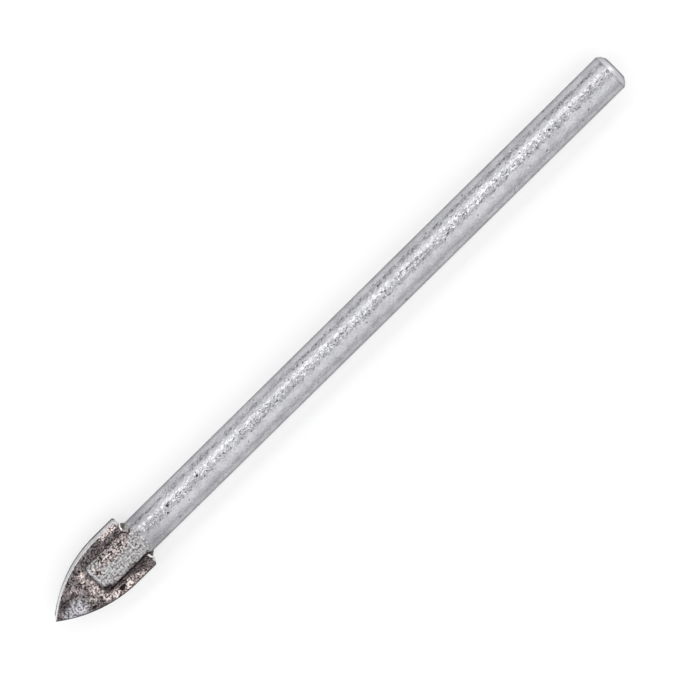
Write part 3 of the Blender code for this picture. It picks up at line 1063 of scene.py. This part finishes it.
# The dents are painted darker: painted shade in them.
colour = blend(tree, node(tree, "ShaderNodeMapRange", [dents, 0.0, 1.0, DENT_SHADE, 0.0]), colour, "#8a888c")
dulled = node(tree, "ShaderNodeAttribute", attribute_name="dulled").outputs["Fac"]
dulled = node(tree, MATH, [dulled, DULL_SHADE], operation="MULTIPLY")
colour = blend(tree, dulled, colour, "#8c8a8d")
smooth = node(tree, "ShaderNodeAttribute", attribute_name="machined").outputs["Fac"]
colour = blend(tree, smooth, colour, "#cbcbcf")
print("grain, dents and bloom, mm:", [round(scale / MM, 2) for scale in (ZINC_GRAIN, DENT, BLOOM)])

# %% The shank's finish: eaten, smeared and sooty on the prongs, dark pits, painted shade and highlights
# Below: painted shade on the flanks and chamfer edges, a painted highlight at the front, painted glints.
EATEN_CUT = (0.32, 0.68)
EDGE_SHADE = 0.85

eaten_spots = node(tree, NOISE, {"Vector": place, "Scale": 1 / EATEN, "Detail": 1.0})
bare = speckle(tree, eaten_spots, "#6c696b", "#d8d7d8", EATEN_CUT)
smeared = speckle(tree, eaten_spots, "#3c3434", "#ddd2d0")
# Soot, and painted shade on the prongs' flanks.
soot_and_shade_colour = speckle(tree, eaten_spots, "#211c1d", "#6d6364")
eaten = blend(tree, frayed(tree, place, "smear", 0.2, 0.5), bare, smeared)
eaten = blend(tree, frayed(tree, place, "soot_and_shade", 0.2, 0.7), eaten, soot_and_shade_colour)
colour = blend(tree, frayed(tree, place, "head", 0.2, 0.8), colour, eaten)
# Painted highlight on the front edge, which is rubbed bright too.
colour = blend(tree, frayed(tree, place, "rubbed_and_highlight", 0.35, 0.6), colour, "#dcdcde")
# Painted shade and painted dark reflection along the end chamfer's edges.
edge = node(tree, "ShaderNodeAttribute", attribute_name="edge").outputs["Fac"]
edge = node(tree, MATH, [edge, EDGE_SHADE], operation="MULTIPLY")
colour = blend(tree, edge, colour, "#403e40")
colour = blend(tree, frayed(tree, place, "pit", 0.15, 0.6), colour, "#332c2a")
# White flecks that are not metal: painted glints.
glint_fleck = node(tree, "ShaderNodeAttribute", attribute_name="glint_fleck").outputs["Fac"]
colour = blend(tree, glint_fleck, colour, "#f4f4f4")
metal = node(tree, MATH, [1.0, glint_fleck], operation="SUBTRACT")
tree.links.new(colour, shader.inputs["Base Color"])
tree.links.new(metal.outputs[0], shader.inputs["Metallic"])
print("nodes so far:", len(tree.nodes))

# %% The shank's finish: its gloss, its grain, and how it mirrors at a glancing angle
FACET_CUT = (0.42, 0.58)
FACET_ROUGHNESS = (0.18, 0.3)
MACHINED_ROUGHNESS = 0.3
GRAIN_DEPTH = (0.036 * MM, 0.012 * MM)
DENT_DEPTH = (0.008 * MM, 0.0)
GLANCING = 0.4

facets = node(tree, NOISE, {"Vector": place, "Scale": 1 / FACET, "Detail": 0.0})
rough = node(tree, "ShaderNodeMapRange", [facets, *FACET_CUT, *FACET_ROUGHNESS])
turned = node(tree, MATH, [smooth, MACHINED_ROUGHNESS], operation="MULTIPLY")
rough = node(tree, MATH, [rough, turned], operation="MAXIMUM")
tree.links.new(rough.outputs[0], shader.inputs["Roughness"])
shader.inputs["Specular Tint"].default_value = (GLANCING, GLANCING, GLANCING, 1.0)
grain_depth = node(tree, "ShaderNodeMapRange", [smooth, 0.0, 1.0, *GRAIN_DEPTH])
dent_depth = node(tree, "ShaderNodeMapRange", [smooth, 0.0, 1.0, *DENT_DEPTH])
pressed(tree, shader, [(grain, grain_depth), (dents, dent_depth)])
print("nodes in the zinc's tree:", len(tree.nodes))

# %% [markdown]
# ### Sintered tungsten carbide
#
# Carbide grains in a cobalt binder come out of the furnace dark grey and barely shiny. Grinding brightens the
# two edges, the back and the lands. Round the prongs the plate carries thin smears of braze, copper pink with
# clean white specks, and dark flux glass in between, with soot and painted shade beside the prongs. Dark
# lines are painted along its edges. The grit is some 0.01 mm in the real one, far too fine to show, and is
# drawn as coarse as the photograph's speckle.

# %% The plate's finish
GRIT = 0.17 * MM
PATCH_CUT = (0.4, 0.6)
CARBIDE_ROUGHNESS = (0.36, 0.24)
GRIT_DEPTH = (0.08 * MM, 0.004 * MM)

tree, shader, place = finish_shader(CARBIDE, 0.9)
grit = node(tree, NOISE, {"Vector": place, "Scale": 1 / GRIT, "Detail": 1.0})
patches = node(tree, NOISE, {"Vector": place, "Scale": 1 / FRAY, "Detail": 2.0})
patches = node(tree, "ShaderNodeMapRange", [patches, *PATCH_CUT])
darker = speckle(tree, grit, "#1e1a1b", "#8a8283")
paler = speckle(tree, grit, "#3c3637", "#9d9293")
face = blend(tree, patches, darker, paler)
face = blend(tree, frayed(tree, place, "pale", 0.1, 0.8), face, speckle(tree, grit, "#5c5a60", "#d8d6dc"))
face = blend(tree, frayed(tree, place, "smear", 0.3, 0.7), face, speckle(tree, grit, "#4c3e3d", "#fff0ec"))
# Soot and painted shade on the plate beside the prongs.
face = blend(tree, frayed(tree, place, "soot_and_shade", 0.2, 0.9), face, speckle(tree, grit, "#1c1819", "#544b4c"))
polish = node(tree, "ShaderNodeAttribute", attribute_name="ground").outputs["Fac"]
face = blend(tree, polish, face, "#d9d9dd")
# Dark lines painted along the edges.
dark_edge_value = node(tree, "ShaderNodeAttribute", attribute_name="dark_edge_line").outputs["Fac"]
face = blend(tree, dark_edge_value, face, "#3a3d3d")
face = blend(tree, frayed(tree, place, "pit", 0.2, 0.5), face, "#1e1a19")
tree.links.new(face, shader.inputs["Base Color"])
rough = node(tree, "ShaderNodeMapRange", [polish, 0.0, 1.0, *CARBIDE_ROUGHNESS])
tree.links.new(rough.outputs[0], shader.inputs["Roughness"])
pressed(tree, shader, [(grit, node(tree, "ShaderNodeMapRange", [polish, 0.0, 1.0, *GRIT_DEPTH]))])
print("nodes in the carbide's tree:", len(tree.nodes))

# %% [markdown]
# ### Copper braze
#
# The braze is a copper alloy that has been red hot under flux. It is sooty dark, with painted shade, in the
# corner against the prongs and on the webs, and copper pink to white where it ran thin and was rubbed clean.
# Its white rim behind the plate is a painted highlight as well.

# %% The braze's finish
BRAZE_ROUGHNESS = (0.36, 0.6)

tree, shader, place = finish_shader(COPPER, 0.9)
grit = node(tree, NOISE, {"Vector": place, "Scale": 1 / GRIT, "Detail": 1.0})
colour = speckle(tree, grit, "#211d1e", "#7d7476")
smeared = speckle(tree, grit, "#4c3e3d", "#fff0ec")
colour = blend(tree, frayed(tree, place, "smear", 0.3, 0.7), colour, smeared)
# Soot and painted shade on the braze.
colour = blend(tree, frayed(tree, place, "soot_and_shade", 0.2, 0.8), colour, speckle(tree, grit, "#2a2425", "#5c5253"))
# Painted shade in the corner against the prongs.
shaded = speckle(tree, grit, "#2a2526", "#968a88")
colour = blend(tree, frayed(tree, place, "corner", 0.3, 1.0), colour, shaded)
# Painted highlight on the webs' rim, which is rubbed clean too.
colour = blend(tree, frayed(tree, place, "rubbed_and_highlight", 0.3, 0.6), colour, "#f4f2f2")
colour = blend(tree, frayed(tree, place, "pit", 0.2, 0.5), colour, "#1e1a19")
tree.links.new(colour, shader.inputs["Base Color"])
corner = node(tree, "ShaderNodeAttribute", attribute_name="corner").outputs["Fac"]
rough = node(tree, "ShaderNodeMapRange", [corner, 0.0, 1.0, *BRAZE_ROUGHNESS])
tree.links.new(rough.outputs[0], shader.inputs["Roughness"])
pressed(tree, shader, [(grit, GRIT_DEPTH[0])])
print("nodes in the braze's tree:", len(tree.nodes))

# %% The three pieces take their places
for piece, name, slot in (
    (rod, "shank", "shank_steel"),
    (plate, "carbide_tip", "tip_carbide"),
    (braze, "braze_filler", "braze"),
):
    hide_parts(name)
    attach(piece, "root")
